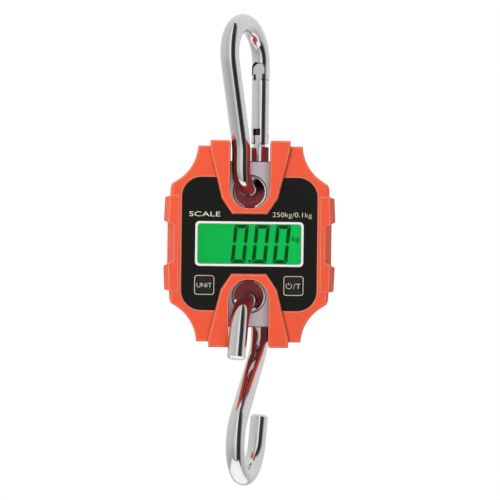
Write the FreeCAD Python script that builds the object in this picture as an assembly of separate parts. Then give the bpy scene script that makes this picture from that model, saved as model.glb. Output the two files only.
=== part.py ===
"""Digital hanging scale: a plastic housing on a load cell, a spring-gate carabiner above, an S-hook below.

Solids are drawn in housing coordinates, in millimetres: the middle of the housing is the origin, X to the
right, Y towards the back and Z up, with the display facing -Y. Each one is moved as it is written, so that
the origin of the whole is the hanging point, inside the top of the carabiner.
"""
import FreeCAD, Part

import math
import os

V = FreeCAD.Vector
ORIGIN, X_DIR, Y_DIR, Z_DIR = V(0, 0, 0), V(1, 0, 0), V(0, 1, 0), V(0, 0, 1)
FAR = 200.0  # longer than anything it cuts
WIRE_R = 5.0  # rod of the carabiner and of the S-hook

# ---- load cell: a flat bar with a shackle bore at each end ----
BAR_HALF_W, BAR_T, BAR_HALF_H, BAR_Y = 15.0, 6.0, 45.5, -1.5
BORE_R, BORE_Z, BORE_CHAMFER = 8.2, 28.7, 1.2
RELIEF_W, RELIEF_END_Z = 5.6, 15.5  # slot from each bore towards the middle
SLIT_W, SLIT_Z, SLIT_REACH = 1.2, 9.5, 8.0  # the two cuts that make the bar an S
GAUGE_POCKET_R, GAUGE_POCKET_DEEP = 6.0, 2.3
FOIL_HALF_L, FOIL_HALF_W, FOIL_T, FOIL_X, FOIL_Z = 2.6, 1.2, 0.12, 2.4, 1.0
BAR_SCREW_X, BAR_SCREW_Z, BAR_HEAD_DEEP, BAR_SCREW_TIP, BAR_EDGE = 11.5, 20.0, 2.2, 9.0, 0.5
BAR_FRONT, BAR_BACK = BAR_Y - BAR_T / 2, BAR_Y + BAR_T / 2
FLAT_START, FLAT_FOOT, FLAT_END, FLAT_Z = 0.5, 3.2, 18.0, -3.6  # the flat lead: three x and its height
FLAT_HALF_W, FLAT_HALF_T, FLAT_BEND, FLAT_LIFT = 1.4, 0.1, 0.8, 0.5

# ---- housing shells; the parting plane is y = 0 ----
FRONT_FACE, COLLAR_FACE, BACK_FACE = -17.0, -19.0, 19.0
FRONT_INNER, BACK_INNER, WALL = -13.8, 17.0, 2.2
HALF_W, HALF_H, COLLAR_HALF_H = 44.0, 52.5, 55.3
WAIST_CENTRE, WAIST_R, WAIST_END = (51.3, 53.6), 23.3, 237.5  # concave corner: centre, radius, end angle
CORNER_R = 4.0
LEAN_FRONT, LEAN_BACK = 2.2, 2.2  # how far the side walls lean in, from the parting plane to the face
EDGE_CHAMFER = 0.7
FRONT_SLOT_R, FRONT_SLOT_Z = 10.9, 29.8
CAVE_R, CAVE_Z, SLOT_WALL = 12.5, 36.8, 1.8  # room for the rods between the load cell and the back wall
NOTCH_R, NOTCH_HALF_H = 6.0, 30.0  # openings through the back wall: corner, half length
UPPER_NOTCH_HALF_W, UPPER_NOTCH_Z, LOWER_NOTCH_HALF_W, LOWER_NOTCH_Z = 11.4, 38.0, 12.5, -31.5
COLLAR_CORNERS = [(21.4, 50.4), (14.9, 24.3), (9.3, 16.1)]  # below the collar's top edge, right side
PAD_X, PAD_INNER_X, PAD_HALF_H, PAD_PROUD = 47.95, 38.0, 25.6, 0.3  # the pad on each side
PAD_LEAN, PAD_TAPER = 4.2, 1.2  # how far its outside leans in towards the face, and towards its ends
HOLLOW_X, HOLLOW_LEAN, HOLLOW_IN_Z, HOLLOW_OUT_Z = 45.3, 4.9, 9.6, 13.1  # the hollow half way along it
BAR_PLAY = 0.1  # round the load cell in its pocket
SHELL_SCREW_X, SHELL_SCREW_Z, SHELL_BOSS_R, SHELL_HEAD_Y, SHELL_PILOT_END = 21.0, 46.0, 3.5, 9.0, -11.0
SCREW_R, SCREW_HEAD_R, SCREW_HEAD_T = 1.2, 2.6, 1.8
CROSS_HALF_L, CROSS_HALF_W, CROSS_DEEP = 1.4, 0.3, 1.0  # the drive in each screw head

# ---- panel, display and keys ----
PANEL_HALF_W, PANEL_HALF_H, PANEL_R = 36.3, 35.7, 10.7
PANEL_FRONT, PANEL_BACK = -16.7, -16.1
WINDOW_HALF_W, WINDOW_HALF_H, WINDOW_R = 27.65, 10.65, 1.6
LENS_HALF_W, LENS_HALF_H, LENS_R, LENS_BACK = 28.95, 11.95, 2.2, -15.4
LCD_HALF_W, LCD_HALF_H, LCD_FRONT, LCD_BACK = 30.5, 13.75, -13.7, -11.1
LIGHT_HALF_W, LIGHT_LOW, LIGHT_HIGH, LIGHT_BACK = 28.0, -9.5, 12.0, -8.3
LED_W, LED_T, LED_HALF_H, LED_ROWS = 1.0, 1.6, 1.5, (-4.5, 1.5, 7.5)
STRIP_HALF_W, STRIP_LOW, STRIP_HIGH = 26.0, -13.15, -10.95
LEDGE = 3.0  # how much deeper the rear glass of the display reaches
BOARD_FRONT, BOARD_BACK, BOARD_HALF_W, BOARD_LOW, BOARD_HIGH = -7.6, -6.0, 37.0, -28.5, 15.5
BOARD_SCREWS = [(sx * 34.3, z) for sx in (-1, 1) for z in (11.8, -25.0)]
BOARD_POST_R, BOARD_SCREW_TIP = 2.4, -12.0
CHIPS = [(-24.0, 4.0, 3.6, 3.6, 1.4), (24.5, 6.5, 2.0, 5.0, 1.6), (-22.0, -9.0, 1.5, 1.5, 1.1),
         (22.0, -3.6, 4.0, 2.6, 2.4)]  # x, z, half width, half height, thickness
KEY_X, KEY_Z, KEY_HALF_W, KEY_HALF_H, KEY_R, KEY_FRONT = 23.9, -22.2, 4.6, 4.5, 1.2, -17.1
KEY_GAP, KEY_EDGE = 0.3, 0.3
FLANGE_GROW, FLANGE_FRONT, FLANGE_BACK, STEM_R = 0.9, -13.6, -12.7, 1.6
SWITCH_HALF, SWITCH_FRONT, PLUNGER_R, PLUNGER_FRONT = 3.0, -10.7, 1.7, -11.7
PLUNGER_BACK, PLUNGER_HOLE_BACK = -10.0, -9.2

# ---- batteries and their door ----
AAA_R, AAA_L, NUB_R, NUB_L, AAA_PITCH, AAA_Y = 5.25, 44.5, 1.9, 1.0, 10.7, 11.2
BAY_HALF_W, BAY_HALF_H, BAY_FLOOR_Y, BAY_FLOOR_T = 25.5, 16.1, 5.4, 1.2
DOOR_HALF_W, DOOR_HALF_H, DOOR_T, DOOR_GAP = 27.0, 17.2, 2.0, 0.3
RIB_HALF_L, RIB_T, RIB_PROUD, RIB_PITCH, RIB_FIRST, RIB_COUNT = 7.0, 0.8, 0.5, 1.8, 2.5, 4
HINGE_PIN_R, HINGE_PIN_L, HINGE_GAP = 0.7, 0.9, 0.06
CONTACT_T, CONTACT_HALF = 0.4, 4.2
SPRING_WIDE_R, SPRING_TIP_R, SPRING_TURNS, SPRING_PLAY = 3.3, 2.0, 3.5, 0.5
LEAD_R, LEAD_BEND, LEAD_OUT, LEAD_Y, LEAD_HOLE_PLAY = 0.6, 2.0, 5.0, AAA_Y - 3.0, 0.15
LEAD_ENDS = ((-1, AAA_PITCH), (1, -AAA_PITCH))  # side and height of the positive and the negative lead

# ---- carabiner, in its own upright plane: u towards the front left, w up from the small bend's centre ----
CAR_YAW, CAR_AT = 27.0, V(0.15, BAR_Y, 41.2)
SMALL_R, TOP_R, TOP_W = 11.2, 18.5, 60.0
KNEE_W, KNEE_R = 11.5, 22.0
PIN_W, PIN_R, PIN_HALF_L, PIN_CLEARANCE = 18.6, 1.2, 4.6, 0.05
TONGUE_HALF_T, TONGUE_R, TONGUE_FOOT, SHOULDER_W = 1.9, 2.6, 1.2, 13.1
GATE_R, FORK_REACH, FORK_R, FORK_HALF_GAP, FORK_SLOT_W = 4.9, 3.6, 5.2, 2.2, 23.2
GATE_TOP_W, NOSE_W, NECK_HALF_W, HEAD_R, HEAD_LOW_W, HEAD_TOP_W = 50.0, 50.85, 1.85, 3.6, 53.9, 59.8
HEAD_HALF_T, LATCH_GAP = 2.6, 0.6
GATE_BORE_R, GATE_BORE_TOP, GATE_PLUNGER_R, GATE_PLUNGER_TOP = 1.75, 40.0, 1.6, 28.0
GATE_SPRING_R, GATE_SPRING_TURNS, GATE_SPRING_PLAY = 1.3, 7, 0.5
OUTSIDE = WIRE_R + 1.0  # half width of cutters that clear the rod

# ---- S-hook, in its own upright plane: u towards the front, w up from the upper bend's centre ----
HOOK_YAW, HOOK_AT = 17.5, V(0.6, BAR_Y, -49.9)
HOOK_TOP_R, HOOK_LOW_R = 19.5, 20.0
SHANK_TILT, SHANK_L = 46.5, 41.0
TOP_FLARE, LOW_FLARE, TOP_LEG, LOW_LEG = 14.0, 16.0, 16.4, 15.6
END_CHAMFER = 1.2


# ---- small helpers ----
def block(x0, x1, y0, y1, z0, z1):
    return Part.makeBox(x1 - x0, y1 - y0, z1 - z0, V(x0, y0, z0))


def rod_y(x, z, r, y0, y1):
    return Part.makeCylinder(r, y1 - y0, V(x, y0, z), Y_DIR)


def prism(points, along):
    """A closed polygon, extruded along a vector."""
    return Part.Face(Part.makePolygon(points + points[:1])).extrude(along)


def prism_y(points, y0, y1):
    return prism([V(x, y0, z) for x, z in points], Y_DIR * (y1 - y0))


def prism_z(points, z0, z1):
    return prism([V(x, y, z0) for x, y in points], Z_DIR * (z1 - z0))


def plate(half_w, half_h, r, y0, y1, x=0.0, z=0.0):
    """An upright plate with rounded corners."""
    box = block(x - half_w, x + half_w, y0, y1, z - half_h, z + half_h)
    return box.makeFillet(r, [e for e in box.Edges if abs(e.tangentAt(e.FirstParameter).y) > 0.9])


def fused(shapes):
    return shapes[0].multiFuse(shapes[1:]).removeSplitter()


def mirrored(shape, *directions):
    """The shape and its mirror images in the planes through the origin across each direction."""
    images = [shape]
    for direction in directions:
        images += [image.mirror(ORIGIN, direction) for image in images]
    return images


def tube(edges, radius):
    """A round rod along a chain of edges that meet without a corner."""
    path = Part.Wire(edges)
    start = path.Edges[0]
    point, tangent = start.valueAt(start.FirstParameter), start.tangentAt(start.FirstParameter)
    profile = Part.Wire(Part.makeCircle(radius, point, tangent))
    return path.makePipeShell([profile], True, False)


def turned(edge_points):
    """An arc through three points."""
    return Part.Arc(*edge_points).toShape()


def coil(first_r, last_r, height, turns, wire_r=0.3):
    """A spring that winds upwards round Z from the origin, from one radius to another."""
    steps = round(12 * turns)
    points = []
    for i in range(steps + 1):
        part, turn = i / steps, math.radians(30 * i)
        radius = first_r + (last_r - first_r) * part
        points.append(V(radius * math.cos(turn), radius * math.sin(turn), height * part))
    line = Part.BSplineCurve()
    line.interpolate(points)
    return tube([line.toShape()], wire_r)


class Upright:
    """An upright plane turned by `yaw` from the side view; u runs to the front, w up, n along its normal."""

    def __init__(self, at, yaw):
        turn = math.radians(yaw)
        self.at = at
        self.u = V(-math.sin(turn), -math.cos(turn), 0)
        self.n = V(math.cos(turn), -math.sin(turn), 0)

    def point(self, u, w, n=0.0):
        return self.at + self.u * u + Z_DIR * w + self.n * n

    def on_circle(self, centre, radius, degrees):
        turn = math.radians(degrees)
        return self.point(centre[0] + radius * math.cos(turn), centre[1] + radius * math.sin(turn))

    def arc(self, centre, radius, first, last):
        middle = (first + last) / 2
        return turned([self.on_circle(centre, radius, a) for a in (first, middle, last)])

    def slab(self, u0, u1, w0, w1, n0, n1):
        corners = [self.point(u, w, n0) for u, w in ((u0, w0), (u1, w0), (u1, w1), (u0, w1))]
        return prism(corners, self.n * (n1 - n0))

    def pin(self, u, w, radius, n0, n1):
        return Part.makeCylinder(radius, n1 - n0, self.point(u, w, n0), self.n)

    def post(self, u, w0, w1, radius):
        return Part.makeCylinder(radius, w1 - w0, self.point(u, w0), Z_DIR)


CARABINER = Upright(CAR_AT, CAR_YAW)
HOOK = Upright(HOOK_AT, HOOK_YAW)
HANGING_POINT = CARABINER.point(TOP_R - SMALL_R, TOP_W + TOP_R - WIRE_R)


# ---- housing ----
def outline(inset, y0, y1):
    """The housing outline, set in from the outside by `inset` and extruded from y0 to y1."""
    radius, top, side = WAIST_R + inset, HALF_H - inset, HALF_W - inset
    cx, cz = WAIST_CENTRE
    end = math.radians(WAIST_END)
    start = math.pi + math.asin((cz - top) / radius)
    arc = [V(cx + radius * math.cos(a), y0, cz + radius * math.sin(a))
           for a in (start, (start + end) / 2, end)]
    corner = V(side, y0, arc[2].z - (side - arc[2].x) / math.tan(end))
    loop = [V(side, y0, 0), V(0, y0, 0), V(0, y0, top), arc[0]]
    edges = [Part.makeLine(a, b) for a, b in zip(loop, loop[1:])]
    edges += [turned(arc), Part.makeLine(arc[2], corner), Part.makeLine(corner, loop[0])]
    quarter = Part.Face(Part.Wire(edges)).extrude(Y_DIR * (y1 - y0))
    whole = fused(mirrored(quarter, X_DIR, Z_DIR))
    corners = [e for e in whole.Edges if math.hypot(abs(e.CenterOfMass.x) - corner.x,
                                                    abs(e.CenterOfMass.z) - corner.z) < 0.01]
    return whole.makeFillet(CORNER_R - inset / 2, corners)


def between_sides(face, lean, inset):
    """The space between the two side walls, which lean in from the parting plane to a face."""
    wide, narrow = HALF_W - inset, HALF_W - inset - lean
    return prism_z([(-wide, 0), (-narrow, face), (narrow, face), (wide, 0)], -FAR / 2, FAR / 2)


def shell_body(face, lean):
    """The plain outside of one shell with its pads, before it is hollowed."""
    y0, y1 = sorted((0, face))
    body = outline(0, y0, y1).common(between_sides(face, lean, 0))
    rim = [e for e in body.Edges if all(abs(v.Y - face) < 0.01 for v in e.Vertexes)]
    body = body.makeChamfer(EDGE_CHAMFER, rim)
    return fused([body, *side_pads(face)]).cut(fused(finger_hollows(face)))


def side_pads(face):
    """A pad along each side of a shell, a little proud of its face and wider half way along."""
    front = face + math.copysign(PAD_PROUD, face)
    foot = [(HALF_W / 2, 0), (PAD_X, 0), (PAD_X - PAD_LEAN, front), (HALF_W / 2, front)]
    half = prism([V(x, y, 0) for x, y in foot], V(-PAD_TAPER, 0, PAD_HALF_H))
    return mirrored(half.common(block(PAD_INNER_X, FAR, -FAR, FAR, 0, PAD_HALF_H)), X_DIR, Z_DIR)


def finger_hollows(face):
    """What is cut from each side pad: all outside a leaning plane, between two slanted ends."""
    front, outer = face * 2, PAD_X + 1
    inner = HOLLOW_X - HOLLOW_LEAN
    foot = [(HOLLOW_X, 0), (HOLLOW_X - HOLLOW_LEAN * 2, front), (outer, front), (outer, 0)]
    ends = prism_y([(inner, HOLLOW_IN_Z), (outer, HOLLOW_OUT_Z), (outer, -HOLLOW_OUT_Z),
                    (inner, -HOLLOW_IN_Z)], -FAR, FAR)
    return mirrored(prism_z(foot, -PAD_HALF_H, PAD_HALF_H).common(ends), X_DIR)


def slot(radius, centre_z, y0, y1, top=FAR / 2):
    """A slot through the upper half of a shell: round at its lower end and open at the top."""
    return fused([rod_y(0, centre_z, radius, y0, y1), block(-radius, radius, y0, y1, centre_z, top)])


def collar_outline(grow=0.0):
    """Points round the upper collar; `grow` leaves a gap beside it."""
    steps = (grow, grow, grow / 2)
    right = [(COLLAR_CORNERS[0][0] + grow, COLLAR_HALF_H)]
    right += [(x + step, z - grow) for (x, z), step in zip(COLLAR_CORNERS, steps)]
    return right + [(-x, z) for x, z in right[::-1]]


def collar():
    raised = prism_y(collar_outline(), COLLAR_FACE, FRONT_INNER)
    rim = [e for e in raised.Edges if all(abs(v.Y - COLLAR_FACE) < 0.01 for v in e.Vertexes)]
    return raised.makeChamfer(EDGE_CHAMFER, rim)


def bar_pocket():
    return block(-BAR_HALF_W - BAR_PLAY, BAR_HALF_W + BAR_PLAY, BAR_FRONT - BAR_PLAY, BAR_BACK + BAR_PLAY,
                 -BAR_HALF_H - BAR_PLAY, BAR_HALF_H + BAR_PLAY)


def end_wall(y0, y1):
    """The part of the top wall that carries the collar's height back to the parting plane."""
    return block(-COLLAR_CORNERS[0][0], COLLAR_CORNERS[0][0], y0, y1, HALF_H - WALL, COLLAR_HALF_H)


def front_shell():
    shell = shell_body(FRONT_FACE, LEAN_FRONT)
    hollow = outline(WALL, FRONT_INNER, 1)
    shell = shell.cut(hollow.common(fused([between_sides(FRONT_FACE, LEAN_FRONT, WALL),
                                           block(-HALF_W + WALL, HALF_W - WALL, 0, 1, -FAR / 2, FAR / 2)])))
    recess = plate(PANEL_HALF_W + 0.15, PANEL_HALF_H + 0.15, PANEL_R, -FAR / 2, PANEL_BACK)
    lining = slot(FRONT_SLOT_R + SLOT_WALL, FRONT_SLOT_Z, FRONT_INNER - 0.5, 0, HALF_H)
    boss = rod_y(SHELL_SCREW_X, SHELL_SCREW_Z, SHELL_BOSS_R, FRONT_INNER - 0.5, 0)
    posts = [rod_y(x, z, BOARD_POST_R, FRONT_INNER - 0.5, BOARD_FRONT) for x, z in BOARD_SCREWS]
    ends = [collar(), end_wall(COLLAR_FACE + EDGE_CHAMFER, 0), lining]
    shell = fused([shell.cut(recess), *posts, *mirrored(boss, X_DIR, Z_DIR),
                   *(image for end in ends for image in mirrored(end, Z_DIR))])
    pilot = rod_y(SHELL_SCREW_X, SHELL_SCREW_Z, SCREW_R, SHELL_PILOT_END, 1)
    key_hole = plate(KEY_HALF_W + KEY_GAP, KEY_HALF_H + KEY_GAP, KEY_R, -FAR / 2, FRONT_INNER + 1,
                     KEY_X, KEY_Z)
    openings = [
        *mirrored(slot(FRONT_SLOT_R, FRONT_SLOT_Z, -FAR / 2, 1), Z_DIR),
        *mirrored(pilot, X_DIR, Z_DIR),
        *mirrored(key_hole, X_DIR),
        *(rod_y(x, z, SCREW_R, BOARD_SCREW_TIP - 0.5, 0) for x, z in BOARD_SCREWS),
        plate(WINDOW_HALF_W, WINDOW_HALF_H, WINDOW_R, -FAR / 2, FRONT_INNER + 1),
        plate(LENS_HALF_W + 0.1, LENS_HALF_H + 0.1, LENS_R, -FAR / 2, LENS_BACK),
        bar_pocket(),
    ]
    return shell.cut(openings)


def back_shell():
    shell = shell_body(BACK_FACE, LEAN_BACK)
    hollow = outline(WALL, -1, BACK_INNER)
    shell = shell.cut(hollow.common(fused([between_sides(BACK_FACE, LEAN_BACK, WALL),
                                           block(-HALF_W + WALL, HALF_W - WALL, -1, 0, -FAR / 2, FAR / 2)])))
    lining = slot(CAVE_R + SLOT_WALL, CAVE_Z, 0, BACK_INNER + 0.5, HALF_H)
    boss = rod_y(SHELL_SCREW_X, SHELL_SCREW_Z, SHELL_BOSS_R, 0, BACK_INNER + 0.5)
    bar_boss = rod_y(BAR_SCREW_X, BAR_SCREW_Z, SCREW_HEAD_R, BAR_BACK, BACK_INNER + 0.5)
    rim = DOOR_GAP + 1.0
    bay = block(-DOOR_HALF_W - rim, DOOR_HALF_W + rim, BAY_FLOOR_Y - BAY_FLOOR_T, BACK_INNER + 0.5,
                -DOOR_HALF_H - rim, DOOR_HALF_H + rim)
    ends = [end_wall(0, BACK_FACE), lining]
    shell = fused([shell, bay, *mirrored(bar_boss, X_DIR), *mirrored(boss, X_DIR, Z_DIR),
                   *(image for end in ends for image in mirrored(end, Z_DIR))])
    screw_way = fused([rod_y(SHELL_SCREW_X, SHELL_SCREW_Z, SCREW_R, -1, FAR / 2),
                       rod_y(SHELL_SCREW_X, SHELL_SCREW_Z, SCREW_HEAD_R + 0.2, SHELL_HEAD_Y, FAR / 2)])
    openings = [
        *mirrored(slot(CAVE_R, CAVE_Z, -1, BACK_INNER), Z_DIR),
        plate(UPPER_NOTCH_HALF_W, NOTCH_HALF_H, NOTCH_R, 0, FAR / 2, 0, UPPER_NOTCH_Z + NOTCH_HALF_H),
        plate(LOWER_NOTCH_HALF_W, NOTCH_HALF_H, NOTCH_R, 0, FAR / 2, 0, LOWER_NOTCH_Z - NOTCH_HALF_H),
        *mirrored(screw_way, X_DIR, Z_DIR),
        *mirrored(rod_y(BAR_SCREW_X, BAR_SCREW_Z, SCREW_R, 0, BAR_SCREW_TIP + 1), X_DIR),
        bar_pocket(),
        block(-BAY_HALF_W, BAY_HALF_W, BAY_FLOOR_Y, FAR / 2, -BAY_HALF_H, BAY_HALF_H),
        block(-DOOR_HALF_W - DOOR_GAP, DOOR_HALF_W + DOOR_GAP, BACK_FACE - DOOR_T - 0.05, FAR / 2,
              -DOOR_HALF_H - DOOR_GAP, DOOR_HALF_H + DOOR_GAP),
        hinge_pins(HINGE_PIN_R + HINGE_GAP, 0.3),
        *lead_holes(),
    ]
    return shell.cut(openings)


def hinge_pins(radius, extra=0.0):
    """The door's two stub pins, or with some extra length the sockets they turn in."""
    y, z, reach = BACK_FACE - DOOR_T / 2, DOOR_HALF_H - DOOR_T / 2, DOOR_HALF_W + HINGE_PIN_L + extra
    pins = Part.makeCylinder(radius, 2 * reach, V(-reach, y, z), X_DIR)
    return pins.cut(block(-DOOR_HALF_W, DOOR_HALF_W, 0, FAR, -FAR, FAR))


def battery_door():
    """A flat cover, rounded along the top edge that it turns on, with ribs for the thumb."""
    low, high = -DOOR_HALF_H, DOOR_HALF_H - DOOR_T / 2
    cover = block(-DOOR_HALF_W, DOOR_HALF_W, BACK_FACE - DOOR_T, BACK_FACE, low, high)
    left_end = V(-DOOR_HALF_W, BACK_FACE - DOOR_T / 2, high)
    barrel = Part.makeCylinder(DOOR_T / 2, 2 * DOOR_HALF_W, left_end, X_DIR)
    feet = [low + RIB_FIRST + i * RIB_PITCH for i in range(RIB_COUNT)]
    ribs = [block(-RIB_HALF_L, RIB_HALF_L, BACK_FACE - RIB_PROUD, BACK_FACE + RIB_PROUD, z, z + RIB_T)
            for z in feet]
    return fused([cover, barrel, hinge_pins(HINGE_PIN_R), *ribs])


def screw(x, z, head_y, tip_y):
    """A pan-head screw along Y, its head at head_y and its tip at tip_y."""
    sign = 1 if tip_y > head_y else -1
    head = Part.makeCylinder(SCREW_HEAD_R - 0.1, SCREW_HEAD_T, V(x, head_y, z), Y_DIR * -sign)
    shank = Part.makeCylinder(SCREW_R, abs(tip_y - head_y), V(x, head_y, z), Y_DIR * sign)
    outer_y = head_y - sign * SCREW_HEAD_T
    y0, y1 = sorted((outer_y, outer_y + sign * CROSS_DEEP))
    cross = [block(x - a, x + a, y0, y1, z - b, z + b)
             for a, b in ((CROSS_HALF_L, CROSS_HALF_W), (CROSS_HALF_W, CROSS_HALF_L))]
    return fused([head, shank]).cut(fused(cross))


def housing_screws():
    return [screw(sx * SHELL_SCREW_X, sz * SHELL_SCREW_Z, SHELL_HEAD_Y, SHELL_PILOT_END + 1)
            for sx in (-1, 1) for sz in (-1, 1)]


# ---- load cell ----
def chamfered_bore():
    """One shackle bore with its bevelled mouths, and the relief slot that runs from it to the middle."""
    bore = rod_y(0, BORE_Z, BORE_R, BAR_FRONT - 1, BAR_BACK + 1)
    mouths = [Part.makeCone(BORE_R + BORE_CHAMFER, BORE_R, BORE_CHAMFER, V(0, y, BORE_Z), Y_DIR * sign)
              for y, sign in ((BAR_FRONT, 1), (BAR_BACK, -1))]
    relief = block(-RELIEF_W / 2, RELIEF_W / 2, BAR_FRONT - 1, BAR_BACK + 1, RELIEF_END_Z, BORE_Z)
    return fused([bore, *mouths, relief])


def load_cell():
    bar = block(-BAR_HALF_W, BAR_HALF_W, BAR_FRONT, BAR_BACK, -BAR_HALF_H, BAR_HALF_H)
    bar = bar.makeChamfer(BAR_EDGE, [e for e in bar.Edges if abs(e.Length - BAR_T) > 1])
    slit = block(-BAR_HALF_W - 1, SLIT_REACH, -FAR / 2, FAR / 2, SLIT_Z, SLIT_Z + SLIT_W)
    pockets = [rod_y(0, 0, GAUGE_POCKET_R, BAR_FRONT - 1, BAR_FRONT + GAUGE_POCKET_DEEP),
               rod_y(0, 0, GAUGE_POCKET_R, BAR_BACK - GAUGE_POCKET_DEEP, BAR_BACK + 1)]
    holes = [fused([rod_y(x, BAR_SCREW_Z, SCREW_R + 0.2, BAR_FRONT - 1, BAR_BACK + 1),
                    rod_y(x, BAR_SCREW_Z, SCREW_HEAD_R + 0.1, BAR_FRONT - 1, BAR_FRONT + BAR_HEAD_DEEP)])
             for x in (-BAR_SCREW_X, BAR_SCREW_X)]
    lower_slit = slit.mirror(ORIGIN, Z_DIR).mirror(ORIGIN, X_DIR)
    return bar.cut([*mirrored(chamfered_bore(), Z_DIR), slit, lower_slit, *pockets, *holes])


def load_cell_screws():
    return [screw(sx * BAR_SCREW_X, BAR_SCREW_Z, BAR_FRONT + BAR_HEAD_DEEP, BAR_SCREW_TIP) for sx in (-1, 1)]


def strain_gauges():
    """Two thin foil gauges on the web, at 45 degrees to the pull."""
    web = BAR_FRONT + GAUGE_POCKET_DEEP
    gauges = []
    for side in (-1, 1):
        gauge = block(-FOIL_HALF_L, FOIL_HALF_L, web - FOIL_T, web, -FOIL_HALF_W, FOIL_HALF_W)
        gauge.rotate(ORIGIN, Y_DIR, -45 * side)
        gauge.translate(V(side * FOIL_X, 0, FOIL_Z))
        gauges.append(gauge)
    return gauges


def load_cell_lead():
    """A flat flexible lead from the gauges over the bar's face to the plug behind the board."""
    web, run = BAR_FRONT + GAUGE_POCKET_DEEP - 0.15, BAR_FRONT - FLAT_LIFT
    r, bend, z = FLAT_BEND, FLAT_BEND * (1 - math.sqrt(0.5)), FLAT_Z
    start, end = V(FLAT_START, web, z), V(FLAT_END, run, z)
    rise = V(FLAT_FOOT, web - r, z), V(FLAT_FOOT, run + r, z)
    foot, top = V(FLAT_FOOT - r, web, z), V(FLAT_FOOT + r, run, z)
    edges = [
        Part.makeLine(start, foot),
        turned([foot, V(FLAT_FOOT - bend, web - bend, z), rise[0]]),
        Part.makeLine(*rise),
        turned([rise[1], V(FLAT_FOOT + bend, run + bend, z), top]),
        Part.makeLine(top, end),
    ]
    corners = [start + V(0, y, dz) for y, dz in ((-FLAT_HALF_T, -FLAT_HALF_W), (FLAT_HALF_T, -FLAT_HALF_W),
                                                (FLAT_HALF_T, FLAT_HALF_W), (-FLAT_HALF_T, FLAT_HALF_W))]
    return Part.Wire(edges).makePipeShell([Part.makePolygon(corners + corners[:1])], True, False)


# ---- display stack and board ----
def panel_overlay():
    sheet = plate(PANEL_HALF_W, PANEL_HALF_H, PANEL_R, PANEL_FRONT, PANEL_BACK)
    collar_gap = prism_y(collar_outline(0.15), -FAR / 2, 0)
    key_hole = plate(KEY_HALF_W + KEY_GAP, KEY_HALF_H + KEY_GAP, KEY_R, -FAR / 2, 0, KEY_X, KEY_Z)
    window = plate(LENS_HALF_W + 0.05, LENS_HALF_H + 0.05, LENS_R, -FAR / 2, 0)
    return sheet.cut([*mirrored(collar_gap, Z_DIR), *mirrored(key_hole, X_DIR), window])


def display_window():
    return plate(LENS_HALF_W, LENS_HALF_H, LENS_R, PANEL_FRONT, LENS_BACK)


def lcd_glass():
    """Two bonded glass plates; the rear one is deeper and carries the contact ledge."""
    middle = (LCD_FRONT + LCD_BACK) / 2
    front = block(-LCD_HALF_W, LCD_HALF_W, LCD_FRONT, middle, LEDGE - LCD_HALF_H, LCD_HALF_H)
    back = block(-LCD_HALF_W, LCD_HALF_W, middle, LCD_BACK, -LCD_HALF_H, LCD_HALF_H)
    return fused([front, back])


def backlight():
    return block(-LIGHT_HALF_W, LIGHT_HALF_W, LCD_BACK, LIGHT_BACK, LIGHT_LOW, LIGHT_HIGH)


def backlight_leds():
    x = LIGHT_HALF_W + 0.1
    return [block(x, x + LED_W, BOARD_FRONT - LED_T, BOARD_FRONT, z - LED_HALF_H, z + LED_HALF_H)
            for z in LED_ROWS]


def zebra_strip():
    return block(-STRIP_HALF_W, STRIP_HALF_W, LCD_BACK, BOARD_FRONT, STRIP_LOW, STRIP_HIGH)


def lcd_frame():
    """The holder round the light guide, with a slot for the contact strip and feet on the board."""
    outer = block(-LCD_HALF_W, LCD_HALF_W, LCD_BACK, BOARD_FRONT, -LCD_HALF_H, LCD_HALF_H)
    gap = 0.1
    light = block(-LIGHT_HALF_W, LIGHT_HALF_W + LED_W + 2 * gap, -FAR, FAR, LIGHT_LOW - gap, LIGHT_HIGH + gap)
    strip = block(-STRIP_HALF_W - gap, STRIP_HALF_W + gap, -FAR, FAR, STRIP_LOW - gap, STRIP_HIGH + gap)
    return outer.cut([light, strip])


def main_board():
    board = block(-BOARD_HALF_W, BOARD_HALF_W, BOARD_FRONT, BOARD_BACK, BOARD_LOW, BOARD_HIGH)
    notch = slot(FRONT_SLOT_R + SLOT_WALL + 0.6, FRONT_SLOT_Z, -FAR / 2, 0)
    holes = [rod_y(x, z, SCREW_R + 0.15, -FAR / 2, 0) for x, z in BOARD_SCREWS]
    return board.cut([notch.mirror(ORIGIN, Z_DIR), *holes])


def board_screws():
    return [screw(x, z, BOARD_BACK, BOARD_SCREW_TIP) for x, z in BOARD_SCREWS]


def board_chips():
    """Controller, converter, regulator and the lead's plug, all on the back of the board."""
    return [block(x - w, x + w, BOARD_BACK, BOARD_BACK + t, z - h, z + h) for x, z, w, h, t in CHIPS]


def tact_switches():
    body = plate(SWITCH_HALF, SWITCH_HALF, 0.4, SWITCH_FRONT, BOARD_FRONT, KEY_X, KEY_Z)
    hole = rod_y(KEY_X, KEY_Z, PLUNGER_R + 0.15, -FAR / 2, PLUNGER_HOLE_BACK)
    return mirrored(body.cut(hole), X_DIR)


def switch_plunger(x):
    return rod_y(x, KEY_Z, PLUNGER_R, PLUNGER_FRONT, PLUNGER_BACK)


def key(x):
    cap = plate(KEY_HALF_W, KEY_HALF_H, KEY_R, KEY_FRONT, FLANGE_BACK, x, KEY_Z)
    rim = [e for e in cap.Edges if all(abs(v.Y - KEY_FRONT) < 0.01 for v in e.Vertexes)]
    cap = cap.makeChamfer(KEY_EDGE, rim)
    flange = plate(KEY_HALF_W + FLANGE_GROW, KEY_HALF_H + FLANGE_GROW, KEY_R, FLANGE_FRONT, FLANGE_BACK,
                   x, KEY_Z)
    stem = rod_y(x, KEY_Z, STEM_R, FLANGE_BACK, PLUNGER_FRONT)
    return fused([cap, flange, stem])


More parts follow.
